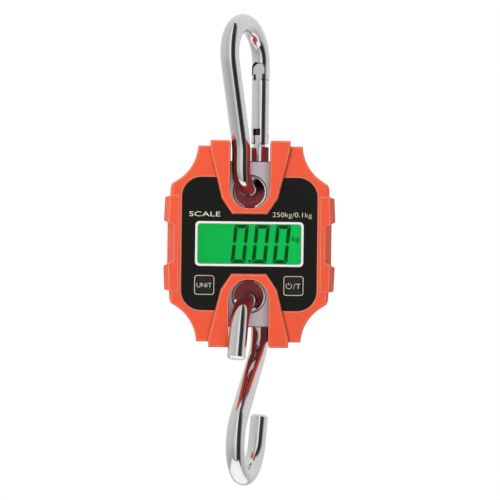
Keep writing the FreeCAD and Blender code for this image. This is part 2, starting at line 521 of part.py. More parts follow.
# ---- batteries ----
def battery_cells():
    """Three AAA cells lying across the housing, head to tail."""
    cells = []
    for i, sign in enumerate((-1, 1, -1)):
        z = (1 - i) * AAA_PITCH
        nub_end = sign * (BAY_HALF_W - CONTACT_T)
        can = Part.makeCylinder(AAA_R, AAA_L - NUB_L, V(nub_end - sign * NUB_L, AAA_Y, z), X_DIR * -sign)
        nub = Part.makeCylinder(NUB_R, NUB_L, V(nub_end, AAA_Y, z), X_DIR * -sign)
        cells.append(fused([can, nub]))
    return cells


def battery_springs():
    """A tapering coil behind the flat end of each cell."""
    springs = []
    length = 2 * (BAY_HALF_W - CONTACT_T - SPRING_PLAY) - AAA_L
    for i, sign in enumerate((1, -1, 1)):
        spring = coil(SPRING_WIDE_R, SPRING_TIP_R, length, SPRING_TURNS)
        spring.rotate(ORIGIN, Y_DIR, -90 * sign)
        spring.translate(V(sign * (BAY_HALF_W - CONTACT_T - SPRING_PLAY), AAA_Y, (1 - i) * AAA_PITCH))
        springs.append(spring)
    return springs


def battery_contacts():
    """Plates at the ends of the bay: one for each pole of the pack, and two that join neighbours."""
    plates = []
    for side, low, high in ((-1, 1, 1), (-1, -1, 0), (1, 0, 1), (1, -1, -1)):
        x0, x1 = sorted((side * BAY_HALF_W, side * (BAY_HALF_W - CONTACT_T)))
        z0, z1 = low * AAA_PITCH - CONTACT_HALF, high * AAA_PITCH + CONTACT_HALF
        plates.append(block(x0, x1, AAA_Y - CONTACT_HALF, AAA_Y + CONTACT_HALF, z0, z1))
    return plates


def lead_holes():
    radius = LEAD_R + LEAD_HOLE_PLAY
    return [Part.makeCylinder(radius, LEAD_OUT + 1, V(side * BAY_HALF_W, LEAD_Y, z), X_DIR * side)
            for side, z in LEAD_ENDS]


def battery_leads():
    """Each lead leaves its contact through the bay's end wall and turns forward to the board."""
    leads = []
    y, cut = LEAD_Y, LEAD_BEND * (1 - math.sqrt(0.5))
    for side, z in LEAD_ENDS:
        x0, x1 = side * BAY_HALF_W, side * (BAY_HALF_W + LEAD_OUT)
        before, after = V(x1 - side * LEAD_BEND, y, z), V(x1, y - LEAD_BEND, z)
        edges = [Part.makeLine(V(x0, y, z), before), turned([before, V(x1 - side * cut, y - cut, z), after]),
                 Part.makeLine(after, V(x1, BOARD_BACK, z))]
        leads.append(tube(edges, LEAD_R))
    return leads


# ---- carabiner ----
def tangent_angle(point, centre, radius):
    """Direction, in degrees from the circle's centre, of the point where a line from `point` touches it."""
    du, dw = point[0] - centre[0], point[1] - centre[1]
    return math.degrees(math.atan2(dw, du) + math.acos(radius / math.hypot(du, dw)))


def carabiner_path():
    """Centre line: gate leg, small bend, rod side with its knee, large bend, and down to the nose."""
    top = (TOP_R - SMALL_R, TOP_W)
    touch = tangent_angle((SMALL_R, KNEE_W), top, TOP_R)
    lean = math.radians(touch)
    setback = KNEE_R * math.tan(-lean / 2)
    knee = (SMALL_R + KNEE_R, KNEE_W - setback)
    p = CARABINER
    return [
        Part.makeLine(p.point(-SMALL_R, PIN_W + TONGUE_R), p.point(-SMALL_R, 0)),
        p.arc((0, 0), SMALL_R, 180, 360),
        Part.makeLine(p.point(SMALL_R, 0), p.point(SMALL_R, knee[1])),
        p.arc(knee, KNEE_R, 180, 180 + touch),
        Part.makeLine(p.on_circle(knee, KNEE_R, 180 + touch), p.on_circle(top, TOP_R, touch)),
        p.arc(top, TOP_R, touch, 180),
        Part.makeLine(p.point(-SMALL_R, TOP_W), p.point(-SMALL_R, NOSE_W)),
    ]


def tongue_cutters():
    """What is removed from the end of the rod to leave a flat, round-ended tongue."""
    p, u, top = CARABINER, -SMALL_R, PIN_W + TONGUE_R + 1
    u0, u1, side = u - OUTSIDE, u + OUTSIDE, TONGUE_HALF_T + 1
    sides = [p.slab(u0, u1, SHOULDER_W, top, n0, n1)
             for n0, n1 in ((-OUTSIDE, -TONGUE_HALF_T), (TONGUE_HALF_T, OUTSIDE))]
    edges = p.slab(u0, u1, SHOULDER_W + TONGUE_FOOT, top, -side, side)
    keep = fused([p.slab(u - TONGUE_R, u + TONGUE_R, SHOULDER_W, PIN_W, -side - 1, side + 1),
                  p.pin(u, PIN_W, TONGUE_R, -side - 1, side + 1)])
    return [*sides, edges.cut(keep)]


def latch(gap):
    """The T-shaped end of the gate with its round top, or with a gap the slot that it enters."""
    p, u, deep = CARABINER, -SMALL_R, (HEAD_HALF_T if gap == 0 else 2 * WIRE_R)
    arch_w, half_head, half_neck = HEAD_TOP_W - HEAD_R, HEAD_R + gap, NECK_HALF_W + gap
    arch = Part.makeCylinder(half_head, 2 * deep, p.point(u - deep, arch_w), p.u)
    arch = arch.common(p.slab(u - deep, u + deep, arch_w, HEAD_TOP_W + 1, -OUTSIDE, OUTSIDE))
    head = p.slab(u - deep, u + deep, HEAD_LOW_W - gap, arch_w, -half_head, half_head)
    neck = p.slab(u - deep, u + deep, GATE_TOP_W - 1, HEAD_LOW_W - gap, -half_neck, half_neck)
    return fused([arch, head, neck])


def carabiner_rod():
    rod = tube(carabiner_path(), WIRE_R)
    hole = CARABINER.pin(-SMALL_R, PIN_W, PIN_R, -OUTSIDE, OUTSIDE)
    return rod.cut([*tongue_cutters(), latch(LATCH_GAP), hole])


def gate():
    p, u = CARABINER, -SMALL_R
    across = (u - OUTSIDE, u + OUTSIDE)
    fork_end = p.slab(*across, PIN_W - OUTSIDE, PIN_W, -OUTSIDE, OUTSIDE)
    fork_end = fork_end.cut(p.pin(u, PIN_W, FORK_R, -OUTSIDE - 1, OUTSIDE + 1))
    fork = p.slab(*across, PIN_W - OUTSIDE, FORK_SLOT_W, -FORK_HALF_GAP, FORK_HALF_GAP)
    bore = p.post(u, FORK_SLOT_W - 1, GATE_BORE_TOP, GATE_BORE_R)
    hole = p.pin(u, PIN_W, PIN_R + PIN_CLEARANCE, -OUTSIDE, OUTSIDE)
    bar = p.post(u, PIN_W - FORK_REACH, GATE_TOP_W, GATE_R)
    for cutter in (fork_end, fork, bore, hole):
        bar = bar.cut(cutter)
    return bar.fuse(latch(0))


def gate_pin():
    return CARABINER.pin(-SMALL_R, PIN_W, PIN_R, -PIN_HALF_L, PIN_HALF_L)


def gate_plunger():
    return CARABINER.post(-SMALL_R, PIN_W + TONGUE_R + 0.15, GATE_PLUNGER_TOP, GATE_PLUNGER_R)


def gate_spring():
    """The coil that presses the plunger on the tongue and so closes the gate."""
    length = GATE_BORE_TOP - GATE_PLUNGER_TOP - 2 * GATE_SPRING_PLAY
    spring = coil(GATE_SPRING_R, GATE_SPRING_R, length, GATE_SPRING_TURNS)
    spring.translate(CARABINER.point(-SMALL_R, GATE_PLUNGER_TOP + GATE_SPRING_PLAY))
    return spring


# ---- S-hook ----
def hook_path():
    """Centre line: flared front leg, upper bend, sloping shank, lower bend and flared rear leg."""
    tilt = math.radians(SHANK_TILT)
    across, along = (math.cos(tilt), math.sin(tilt)), (math.sin(tilt), -math.cos(tilt))
    reach = HOOK_TOP_R + HOOK_LOW_R
    low = tuple(-reach * a + SHANK_L * b for a, b in zip(across, along))
    p = HOOK
    top_end, low_end = math.radians(TOP_FLARE), math.radians(LOW_FLARE)
    top_tip = (HOOK_TOP_R * math.cos(top_end) + TOP_LEG * math.sin(top_end),
               HOOK_TOP_R * math.sin(top_end) - TOP_LEG * math.cos(top_end))
    low_tip = (low[0] - HOOK_LOW_R * math.cos(low_end) - LOW_LEG * math.sin(low_end),
               low[1] - HOOK_LOW_R * math.sin(low_end) + LOW_LEG * math.cos(low_end))
    shank_top = p.on_circle((0, 0), HOOK_TOP_R, 180 + SHANK_TILT)
    shank_end = p.on_circle(low, HOOK_LOW_R, SHANK_TILT)
    return [
        Part.makeLine(p.point(*top_tip), p.on_circle((0, 0), HOOK_TOP_R, TOP_FLARE)),
        p.arc((0, 0), HOOK_TOP_R, TOP_FLARE, 180 + SHANK_TILT),
        Part.makeLine(shank_top, shank_end),
        p.arc(low, HOOK_LOW_R, SHANK_TILT, LOW_FLARE - 180),
        Part.makeLine(p.on_circle(low, HOOK_LOW_R, LOW_FLARE - 180), p.point(*low_tip)),
    ]


def s_hook():
    rod = tube(hook_path(), WIRE_R)
    ends = [e for f in rod.Faces if f.Surface.TypeId == "Part::GeomPlane" for e in f.Edges]
    return rod.makeChamfer(END_CHAMFER, ends)


NODES = {
    "front_shell": front_shell,
    "back_shell": back_shell,
    "battery_door": battery_door,
    "housing_screws": housing_screws,
    "panel_overlay": panel_overlay,
    "display_window": display_window,
    "lcd_glass": lcd_glass,
    "backlight": backlight,
    "backlight_leds": backlight_leds,
    "zebra_strip": zebra_strip,
    "lcd_frame": lcd_frame,
    "main_board": main_board,
    "board_screws": board_screws,
    "board_chips": board_chips,
    "tact_switches": tact_switches,
    "unit_plunger": lambda: switch_plunger(-KEY_X),
    "power_plunger": lambda: switch_plunger(KEY_X),
    "unit_key": lambda: key(-KEY_X),
    "power_key": lambda: key(KEY_X),
    "load_cell": load_cell,
    "load_cell_screws": load_cell_screws,
    "strain_gauges": strain_gauges,
    "load_cell_lead": load_cell_lead,
    "battery_cells": battery_cells,
    "battery_springs": battery_springs,
    "battery_contacts": battery_contacts,
    "battery_leads": battery_leads,
    "carabiner_rod": carabiner_rod,
    "gate": gate,
    "gate_pin": gate_pin,
    "gate_plunger": gate_plunger,
    "gate_spring": gate_spring,
    "s_hook": s_hook,
}


def write_parts():
    os.makedirs("parts", exist_ok=True)
    for name, make in NODES.items():
        made = make()
        shape = Part.makeCompound(made) if isinstance(made, list) else made
        shape.translate(HANGING_POINT * -1)
        shape.exportStep(f"parts/{name}.step")


write_parts()
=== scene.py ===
"""Looks of the digital hanging scale: materials, print, display and studio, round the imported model."""
import math

import bpy
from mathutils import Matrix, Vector


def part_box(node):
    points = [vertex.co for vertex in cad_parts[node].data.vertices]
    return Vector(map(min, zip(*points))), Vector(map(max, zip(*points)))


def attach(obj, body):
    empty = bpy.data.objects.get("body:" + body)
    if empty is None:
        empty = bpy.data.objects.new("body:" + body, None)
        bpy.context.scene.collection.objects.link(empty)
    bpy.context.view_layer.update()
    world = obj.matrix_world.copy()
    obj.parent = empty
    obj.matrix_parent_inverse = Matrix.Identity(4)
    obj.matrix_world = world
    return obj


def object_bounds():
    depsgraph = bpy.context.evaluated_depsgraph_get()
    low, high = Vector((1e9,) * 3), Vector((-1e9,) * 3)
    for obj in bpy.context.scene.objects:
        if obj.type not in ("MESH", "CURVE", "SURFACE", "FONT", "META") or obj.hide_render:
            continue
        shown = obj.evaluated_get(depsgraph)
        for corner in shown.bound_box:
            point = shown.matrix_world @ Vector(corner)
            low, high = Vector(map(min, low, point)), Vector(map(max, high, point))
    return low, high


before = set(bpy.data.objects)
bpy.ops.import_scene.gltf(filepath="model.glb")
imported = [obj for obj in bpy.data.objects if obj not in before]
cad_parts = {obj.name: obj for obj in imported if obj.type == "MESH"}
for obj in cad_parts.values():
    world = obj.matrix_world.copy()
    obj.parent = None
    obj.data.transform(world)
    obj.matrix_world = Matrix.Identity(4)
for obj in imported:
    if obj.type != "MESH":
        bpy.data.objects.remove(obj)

cad_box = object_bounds()

# ---- the object, in millimetres; x, y and z count from the housing's middle ----
MM = 0.001
BORE_R, BORE_Z = 8.2, 28.7  # the load cell's bores: radius and height
BORE_LINE = (0.62, 0.78)  # outside the bore's radius: where the painted highlight on its bevel turns into a painted dark reflection
SEAM_LINE, SEAM_PLAIN = (0.20, 0.12), (0.9, 1.1)  # from the parting plane: a dark line, and no painted edge highlight
PANEL_Y, LCD_Y, KEY_Y = -16.7, -13.7, -17.1  # fronts of the film, the display glass and the keys
INK_T, KEY_INK_T = 0.04, 0.03  # how far the print stands proud

# Printed lines, as half width, half height and corner radius of their outer and inner sides.
LINE_OUTER, LINE_INNER = (28.95, 11.95, 2.2), (27.8, 10.8, 1.6)
KEY_LINE_OUTER, KEY_LINE_INNER = (5.35, 5.25, 1.5), (4.97, 4.87, 1.17)
KEY_X, KEY_Z = 23.9, -22.2
DOME_HALF_W, DOME_HALF_H, DOME_R, DOME_RINGS = 4.35, 4.25, 1.1, 10  # the crowned face of a key
DOME_CROWN, DOME_SUNK, DOME_POWER = 0.32, 0.02, 2.2  # its height, how deep its rim lies, how flat its top is
DOME_TIP, DOME_TIP_R = 0.02, 0.01  # the innermost ring: half size and corner radius
KEY_INK_Y = KEY_Y - 0.34  # just in front of the domes

DIGIT_COUNT, DIGIT_PITCH, DIGIT_LEFT, DIGIT_BOTTOM = 3, 11.3, -10.0, -10.3
DIGIT_W, DIGIT_H, BAR_T, BAR_GAP = 7.9, 20.6, 1.95, 0.22
DIGIT_SLANT = math.tan(math.radians(5.2))
POINT_X, POINT_Z, POINT_R, POINT_SIDES = 0.25, -9.2, 0.8, 18

POWER_X, POWER_R, POWER_STEPS = KEY_X - 2.5, 1.5, 20
POWER_HALF_LINE, POWER_OPENING = 0.13, 38  # half the line's width; degrees open on each side of the top
STROKE_LOW, STROKE_OVER = 0.25, 0.3  # the upright stroke: its foot, and how far it passes the ring

CAP_HEIGHT = 0.73  # of the built-in font at size 1
WORDS = {  # words, left edge, baseline, width, height of a capital, stroke weight
    "lcd_unit": ("kg", 23.0, 1.9, 3.9, 2.6, 0.010),
    "name_label": ("SCALE", -32.3, 14.6, 16.6, 2.7, -0.008),
    "range_label": ("250kg/0.1kg", 12.3, 14.6, 21.0, 2.7, -0.018),
    "unit_word": ("UNIT", -KEY_X - 4.0, KEY_Z - 1.3, 8.0, 2.6, -0.010),
    "tare_mark": ("/T", KEY_X - 0.2, KEY_Z - 1.45, 4.1, 2.9, -0.010),
}

# ---- the studio ----
# Brightness round the horizon, by degrees to the right of the line from the object to the camera.
AZIMUTH_STOPS = [(-180, 0.80), (-110, 0.66), (-60, 0.63), (-20, 0.53), (-9, 0.72), (5, 0.76), (9, 1.15),
                 (13, 1.15), (18, 0.14), (30, 0.04), (58, 0.03), (68, 0.25), (80, 0.70), (125, 0.74),
                 (180, 0.80)]
HEIGHT_STOPS = [(-1.0, 0.45), (-0.5, 0.75), (0.0, 1.0), (1.0, 1.05)]  # by the upward part of the direction
LAMPS = {  # place in millimetres, size in metres, power in watts
    "key": ((-420, -700, 330), (0.5, 0.5), 4.7),
    "fill": ((520, -600, 120), (0.4, 0.7), 1.6),
    "top": ((0, 100, 800), (0.6, 0.4), 2.0),
    "back": ((-350, 750, 200), (0.6, 0.6), 2.6),
}
FLOOR_HALF, FLOOR_DROP = 1.2, 1.2  # metres
CAMERA_PLACE, CAMERA_ROLL = (0.4, -550, -3.2), -0.7  # millimetres, degrees
LENS_MM, SENSOR_MM, CLIP_START, CLIP_END = 71.7, 36.0, 0.01, 50.0  # the clips in metres

BLACK, WHITE = (0.0, 0.0, 0.0), (1.0, 1.0, 1.0)
SHARP_ANGLE = math.radians(28)
MIX_FIRST, MIX_SECOND, MIX_RESULT = 6, 7, 2  # the colour sockets of a Mix node

# The housing's own middle: half way up the load cell, on the parting plane of the two shells.
cell_low, cell_high = (Vector(c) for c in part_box("load_cell"))
parting_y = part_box("front_shell")[1][1]
MIDDLE = Vector(((cell_low.x + cell_high.x) / 2, parting_y, (cell_low.z + cell_high.z) / 2))


def at(x, y, z):
    """A point given in millimetres from the housing's middle."""
    return MIDDLE + Vector((x, y, z)) * MM


def scaled(colour, factor):
    """A colour made lighter or darker."""
    return tuple(min(1, channel * factor) for channel in colour)


# ---------------------------------------------------------------- materials


class Look:
    """A Principled material and short ways to feed its sockets."""

    def __init__(self, name, colour, roughness, metallic=0.0, **sockets):
        self.material = bpy.data.materials.new(name)
        self.material.use_nodes = True
        self.nodes, self.links = self.material.node_tree.nodes, self.material.node_tree.links
        self.shader = self.nodes["Principled BSDF"]
        self.set("Base Color", (*colour, 1.0))
        self.set("Roughness", roughness)
        self.set("Metallic", metallic)
        for socket, value in sockets.items():
            self.set(socket.replace("_", " "), value)

    def set(self, socket, value):
        self.shader.inputs[socket].default_value = value

    def add(self, kind, **values):
        """A new node; each value goes to the input of that name, or else to the node's own setting."""
        node = self.nodes.new("ShaderNode" + kind)
        for key, value in values.items():
            if key in node.inputs:
                node.inputs[key].default_value = value
            else:
                setattr(node, key, value)
        return node

    def join(self, source, target):
        self.links.new(source, target)

    def place(self):
        """The object's own coordinates, in metres."""
        return self.add("TexCoord").outputs["Object"]

    def noise(self, size_mm, detail=3.0, stretch=(1, 1, 1)):
        """A grey noise whose grains are about size_mm across, or longer where the stretch is below 1."""
        mapping = self.add("Mapping", Scale=stretch)
        texture = self.add("TexNoise", Scale=1 / (size_mm * MM), Detail=detail)
        self.join(self.place(), mapping.inputs["Vector"])
        self.join(mapping.outputs["Vector"], texture.inputs["Vector"])
        return texture.outputs["Fac"]

    def remap(self, source, start, end, low=0.0, high=1.0):
        """A number that goes from low to high as the source goes from start to end."""
        ramp = self.add("MapRange")
        for socket, value in zip(("From Min", "From Max", "To Min", "To Max"), (start, end, low, high)):
            ramp.inputs[socket].default_value = value
        self.join(source, ramp.inputs["Value"])
        return ramp.outputs["Result"]

    def fade(self, distance, span_mm):
        """A mask that goes from 0 to 1 as a distance goes from the span's first end to its second."""
        return self.remap(distance, span_mm[0] * MM, span_mm[1] * MM)

    def between(self, grain, low, high):
        """A number from low to high over the usual spread of a noise."""
        return self.remap(grain, 0.3, 0.7, low, high)

    def vector(self, operation, source, other=None, output="Vector"):
        """One step of vector arithmetic; the other operand is a triple or a socket."""
        node = self.add("VectorMath", operation=operation)
        self.join(source, node.inputs[0])
        if isinstance(other, tuple):
            node.inputs[1].default_value = other
        elif other is not None:
            self.join(other, node.inputs[1])
        return node.outputs[output]

    def blend(self, factor, first, second):
        """A colour that goes from the first to the second; either may be a socket."""
        mix = self.add("Mix", data_type="RGBA")
        self.join(factor, mix.inputs["Factor"])
        for index, colour in ((MIX_FIRST, first), (MIX_SECOND, second)):
            if isinstance(colour, tuple):
                mix.inputs[index].default_value = (*colour, 1.0)
            else:
                self.join(colour, mix.inputs[index])
        return mix.outputs[MIX_RESULT]

    def paint(self, socket):
        self.join(socket, self.shader.inputs["Base Color"])

    def rough(self, socket):
        self.join(socket, self.shader.inputs["Roughness"])

    def glow(self, socket, strength):
        """Light of the surface's own, in a colour that varies."""
        self.join(socket, self.shader.inputs["Emission Color"])
        self.set("Emission Strength", strength)

    def bump(self, height, depth_mm, strength=1.0, edge_mm=0.0):
        """Surface relief from a height; with edge_mm, corners are also rounded in the shading."""
        node = self.add("Bump", Strength=strength, Distance=depth_mm * MM)
        self.join(height, node.inputs["Height"])
        if edge_mm:
            bevel = self.add("Bevel", samples=4, Radius=edge_mm * MM)
            self.join(bevel.outputs["Normal"], node.inputs["Normal"])
        self.join(node.outputs["Normal"], self.shader.inputs["Normal"])
        return self

    def edges(self, radius_mm):
        """A mask that is 1 along convex and concave edges."""
        bevel = self.add("Bevel", samples=6, Radius=radius_mm * MM)
        true_normal = self.add("NewGeometry").outputs["Normal"]
        likeness = self.vector("DOT_PRODUCT", bevel.outputs["Normal"], true_normal, "Value")
        return self.remap(likeness, 0.995, 0.90)

    def recess(self, reach_mm, open_at, closed_at):
        """A mask that is 1 deep inside slots and crevices about as wide as the reach."""
        shade = self.add("AmbientOcclusion", samples=8, Distance=reach_mm * MM)
        return self.remap(shade.outputs["AO"], open_at, closed_at)

    def from_middle(self, node_name):
        """Where a point of a CAD node is, counted from the housing's middle."""
        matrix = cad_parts[node_name].matrix_world
        return self.vector("SUBTRACT", self.place(), tuple(matrix.inverted() @ MIDDLE))


def parting_distance(look):
    """How far a point is in front of or behind the plane where the two shells meet."""
    depth = look.vector("MULTIPLY", look.from_middle("front_shell"), (0.0, 1.0, 0.0))
    return look.vector("LENGTH", depth, output="Value")


def bore_distance(look):
    """How far a point of the load cell is from the axis of the nearer bore."""
    folded = look.vector("ABSOLUTE", look.from_middle("load_cell"))
    from_axis = look.vector("SUBTRACT", folded, (0.0, 0.0, BORE_Z * MM))
    return look.vector("LENGTH", look.vector("MULTIPLY", from_axis, (1.0, 0.0, 1.0)), output="Value")


def orange_plastic():
    """Matt plastic: a painted highlight along its edges, a dark line where the shells meet, painted shade in
    creases and slots, and a painted glow deep in the slots.
    """
    look = Look("orange_plastic", (0.78, 0.100, 0.046), 0.50, IOR=1.4, Specular_IOR_Level=0.08)
    mottle = look.blend(look.noise(9, 2), (0.76, 0.094, 0.043), (0.80, 0.106, 0.049))
    # painted highlight: the edges are lightened as if light caught their rounded corners
    painted_edge_highlight = look.blend(look.edges(0.8), mottle, (1.0, 0.36, 0.24))
    from_parting = parting_distance(look)
    faces = look.blend(look.fade(from_parting, SEAM_PLAIN), mottle, painted_edge_highlight)
    parted = look.blend(look.fade(from_parting, SEAM_LINE), faces, (0.30, 0.024, 0.014))
    # painted shade: darker in concave corners and creases, where shade falls
    painted_crease_shade = look.blend(look.recess(1.0, 0.80, 0.45), parted, (0.36, 0.030, 0.018))
    # painted shade: darker deep inside slots and bores, where little light reaches
    look.paint(look.blend(look.recess(28, 0.76, 0.38), painted_crease_shade, (0.30, 0.030, 0.030)))
    # painted glow: the plastic gives off a faint reddish light of its own deep in slots and bores
    look.glow(look.blend(look.recess(28, 0.40, 0.20), BLACK, (0.092, 0.027, 0.029)), 1.0)
    look.rough(look.between(look.noise(1.5), 0.46, 0.58))
    return look.bump(look.noise(0.16, 2), 0.012, 0.4, edge_mm=0.35).material


def panel_film():
    """Black film with a faint texture and a painted highlight along its cut edge."""
    look = Look("panel_film", (0.011, 0.012, 0.010), 0.28, Specular_IOR_Level=0.12)
    base = look.blend(look.noise(4, 2), (0.0055, 0.006, 0.005), (0.0075, 0.008, 0.0065))
    # painted highlight: the film's edges are lightened
    look.paint(look.blend(look.edges(0.18), base, (0.38, 0.26, 0.20)))
    look.rough(look.between(look.noise(0.8), 0.24, 0.34))
    return look.bump(look.noise(0.6, 2), 0.003, 0.07).material


def key_plastic():
    """Glossy black, a little uneven."""
    look = Look("key_plastic", (0.006, 0.006, 0.006), 0.12, Specular_IOR_Level=0.3)
    look.rough(look.between(look.noise(0.7), 0.08, 0.18))
    return look.bump(look.noise(0.5, 2), 0.002, 0.2, edge_mm=0.2).material


def polished_steel():
    """Bright plated rod, with painted shade only in its narrow gaps."""
    look = Look("polished_steel", (0.80, 0.795, 0.80), 0.07, 1.0)
    unshaded_steel = look.blend(look.noise(6, 3), (0.76, 0.755, 0.765), (0.84, 0.835, 0.84))
    # painted shade: nearly black in narrow gaps, where shade falls
    look.paint(look.blend(look.recess(4, 0.5, 0.28), unshaded_steel, (0.02, 0.018, 0.018)))
    look.rough(look.between(look.noise(2.2, 4), 0.045, 0.12))
    return look.bump(look.noise(3.0, 3), 0.006, 0.25, edge_mm=0.25).material


def satin_bar():
    """Brushed flats; round each bore a painted highlight on the turned bevel, inside a painted dark
    reflection.
    """
    look = Look("satin_bar", (0.60, 0.55, 0.58), 0.34, 1.0)
    brushed = look.noise(0.22, 3, (0.05, 1, 1))
    flats = look.blend(brushed, (0.66, 0.60, 0.64), (0.80, 0.74, 0.78))
    normal = look.add("TexCoord").outputs["Normal"]
    across = look.vector("ABSOLUTE", look.vector("MULTIPLY", normal, (0.0, 1.0, 0.0)))
    slope = look.vector("DISTANCE", across, (0.0, math.sqrt(0.5), 0.0), "Value")
    bevel = look.remap(slope, 0.25, 0.10)  # 1 on the faces that lie at 45 degrees
    outer = look.fade(bore_distance(look), [BORE_R + reach for reach in BORE_LINE])
    # painted reflection: a bright bevel inside a dark line, made matt below so that the lamps light it
    painted_ring_reflection = look.blend(outer, (0.95, 0.90, 0.82), (0.030, 0.018, 0.018))
    look.paint(look.blend(bevel, flats, painted_ring_reflection))
    look.join(look.remap(bevel, 0.0, 1.0, 1.0, 0.0), look.shader.inputs["Metallic"])
    look.rough(look.between(brushed, 0.30, 0.46))
    return look.bump(brushed, 0.004, 0.35, edge_mm=0.3).material


def small_steel(name, colour, roughness):
    """Plated screws, springs and contacts."""
    look = Look(name, colour, roughness, 1.0)
    look.rough(look.between(look.noise(0.6), roughness * 0.8, roughness * 1.3))
    return look.bump(look.noise(0.3), 0.006, 0.4).material


def window_clear():
    """The clear window; it hardly bends light, so that the display shows where it is."""
    look = Look("window_clear", (0.97, 1.0, 0.98), 0.02, IOR=1.08, Transmission_Weight=1.0)
    look.rough(look.between(look.noise(5), 0.01, 0.03))
    return look.material


def lcd_glow():
    """A backlit green that brightens from left to right, with a faint mottle."""
    look = Look("lcd_glow", (0.002, 0.005, 0.002), 0.4, Specular_IOR_Level=0.05)
    left, right = (0.0003, 0.385, 0.044), (0.0015, 0.520, 0.085)
    lcd_low, lcd_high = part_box("lcd_glass")
    split = look.add("SeparateXYZ")
    look.join(look.place(), split.inputs["Vector"])
    across = look.blend(look.remap(split.outputs["X"], lcd_low[0], lcd_high[0]), left, right)
    look.glow(look.blend(look.noise(7, 2), across, scaled(right, 0.93)), 0.98)
    return look.material


def printed(name, colour, roughness=0.45, glow=0.0):
    """Ink and thin films: slightly uneven, and lit from behind where there is a glow."""
    look = Look(name, colour, roughness)
    look.paint(look.blend(look.noise(0.4), scaled(colour, 0.92), scaled(colour, 1.06)))
    if glow:
        look.set("Specular IOR Level", 0.05)
        look.set("Emission Color", (*colour, 1.0))
        look.set("Emission Strength", glow)
    return look.bump(look.noise(0.2), 0.003, 0.3).material


def moulded(name, colour, roughness=0.5, metallic=0.0):
    """A plain moulded or sleeved part, uneven in colour and gloss."""
    look = Look(name, colour, roughness, metallic)
    look.paint(look.blend(look.noise(3), scaled(colour, 0.85), scaled(colour, 1.12)))
    look.rough(look.between(look.noise(1), roughness * 0.85, min(1, roughness * 1.2)))
    return look.bump(look.noise(0.3), 0.01, 0.4).material


def circuit_board():
    """Green solder mask over fine copper runs."""
    look = Look("circuit_board", (0.02, 0.14, 0.05), 0.35)
    runs = look.add("TexBrick", Scale=1.0)
    for socket, size_mm in (("Brick Width", 6.0), ("Row Height", 1.6), ("Mortar Size", 0.18)):
        runs.inputs[socket].default_value = size_mm * MM
    look.join(look.place(), runs.inputs["Vector"])
    mask = look.blend(look.noise(6), (0.015, 0.11, 0.035), (0.025, 0.16, 0.055))
    look.paint(look.blend(runs.outputs["Fac"], mask, (0.05, 0.24, 0.09)))
    return look.bump(runs.outputs["Fac"], 0.03, 0.4).material


def dress_nodes():
    """Give every CAD node its material, and smooth shading between its sharp edges."""
    looks = [
        (orange_plastic(), ["front_shell", "back_shell", "battery_door"]),
        (polished_steel(), ["carabiner_rod", "gate", "gate_pin", "s_hook"]),
        (satin_bar(), ["load_cell"]),
        (small_steel("zinc_steel", (0.52, 0.52, 0.54), 0.35),
         ["housing_screws", "board_screws", "load_cell_screws"]),
        (small_steel("spring_steel", (0.6, 0.6, 0.6), 0.25), ["battery_springs", "gate_spring"]),
        (small_steel("nickel", (0.66, 0.64, 0.58), 0.3), ["battery_contacts"]),
        (panel_film(), ["panel_overlay"]),
        (window_clear(), ["display_window"]),
        (key_plastic(), ["unit_key", "power_key"]),
        (lcd_glow(), ["lcd_glass", "backlight"]),
        (printed("led_green", (0.2, 0.9, 0.3), 0.3, 1.5), ["backlight_leds"]),
        (moulded("black_plastic", (0.014, 0.014, 0.014)),
         ["gate_plunger", "board_chips", "tact_switches", "unit_plunger", "power_plunger"]),
        (moulded("strip_rubber", (0.55, 0.40, 0.45), 0.7), ["zebra_strip"]),
        (moulded("white_plastic", (0.75, 0.75, 0.72), 0.45), ["lcd_frame"]),
        (circuit_board(), ["main_board"]),
        (printed("gauge_film", (0.55, 0.28, 0.05), 0.25), ["strain_gauges"]),
        (printed("flat_lead", (0.55, 0.25, 0.04), 0.3), ["load_cell_lead"]),
        (moulded("cell_can", (0.03, 0.10, 0.30), 0.3, metallic=0.4), ["battery_cells"]),
        (moulded("lead_sheath", (0.35, 0.03, 0.02), 0.5), ["battery_leads"]),
    ]
    for look, names in looks:
        for name in names:
            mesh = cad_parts[name].data
            mesh.materials.clear()
            mesh.materials.append(look)
            mesh.shade_smooth()
            mesh.set_sharp_from_angle(angle=SHARP_ANGLE)


# ---------------------------------------------------------------- pieces


def finish_piece(name, mesh, look, body):
    """Put a finished mesh in the scene as a piece that rides on a body."""
    piece = bpy.data.objects.new(name, mesh)
    bpy.context.scene.collection.objects.link(piece)
    mesh.materials.clear()
    mesh.materials.append(look)
    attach(piece, body)


def mesh_from(name, vertices, faces):
    """A new mesh from its points, in metres, and its faces."""
    mesh = bpy.data.meshes.new(name)
    mesh.from_pydata(vertices, [], faces)
    mesh.validate()
    return mesh


def slabs(name, outlines, front, thick):
    """A mesh of thin upright slabs; each outline is a list of (x, z) in millimetres, counter-clockwise."""
    vertices, faces = [], []
    for outline in outlines:
        base, count = len(vertices), len(outline)
        for y in (front, front + thick):
            vertices += [at(x, y, z) for x, z in outline]
        faces.append(tuple(range(base, base + count)))
        faces.append(tuple(range(base + 2 * count - 1, base + count - 1, -1)))
        for i in range(count):
            j = (i + 1) % count
            faces.append((base + j, base + i, base + count + i, base + count + j))
    return mesh_from(name, vertices, faces)


def rounded_loop(half_w, half_h, radius, x=0.0, z=0.0, steps=8):
    """Points round a rounded rectangle, counter-clockwise."""
    points = []
    for corner, (sx, sz) in enumerate(((1, 1), (-1, 1), (-1, -1), (1, -1))):
        for i in range(steps + 1):
            turn = math.radians(90 * (corner + i / steps))
            points.append((x + sx * (half_w - radius) + radius * math.cos(turn),
                           z + sz * (half_h - radius) + radius * math.sin(turn)))
    return points


